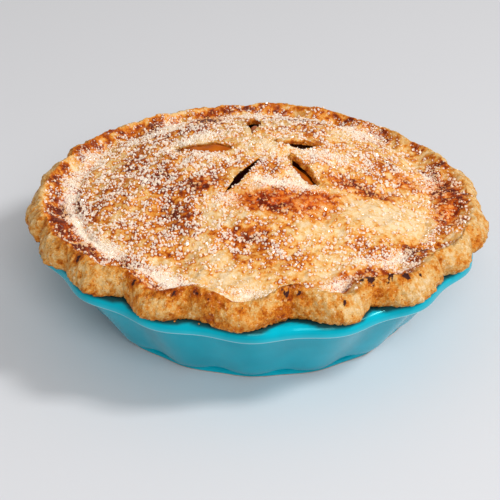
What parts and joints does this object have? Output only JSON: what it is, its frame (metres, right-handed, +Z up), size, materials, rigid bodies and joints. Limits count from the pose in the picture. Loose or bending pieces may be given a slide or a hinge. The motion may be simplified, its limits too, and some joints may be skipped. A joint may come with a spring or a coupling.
{
  "type": "apple pie",
  "caption": "Double-crust apple pie with a domed, sugared lid, star steam vents and a hand-crimped edge, in a round ruffled stoneware pie dish.",
  "frame": {"origin": "on the surface the dish stands on, under the middle of the dish", "axes": "+Z up, -Y the front of the pie, +X its right"},
  "size_m": [0.2781, 0.2764, 0.0968],
  "materials": {
    "glazed_stoneware": "glossy teal glaze over the whole dish, with a bare clay line under the foot ring",
    "cooked_apple": "soft, wet, syrupy cooked apple, amber to brown",
    "baked_crust": "flaky golden shortcrust, caramel brown on its high spots, pale in its folds",
    "sugar": "coarse and fine sugar crystals, white to amber"
  },
  "bodies": {
    "root": {"pie_dish": "glazed_stoneware", "apple_filling": "cooked_apple", "pie_crust": "baked_crust"}
  },
  "joints": []
}
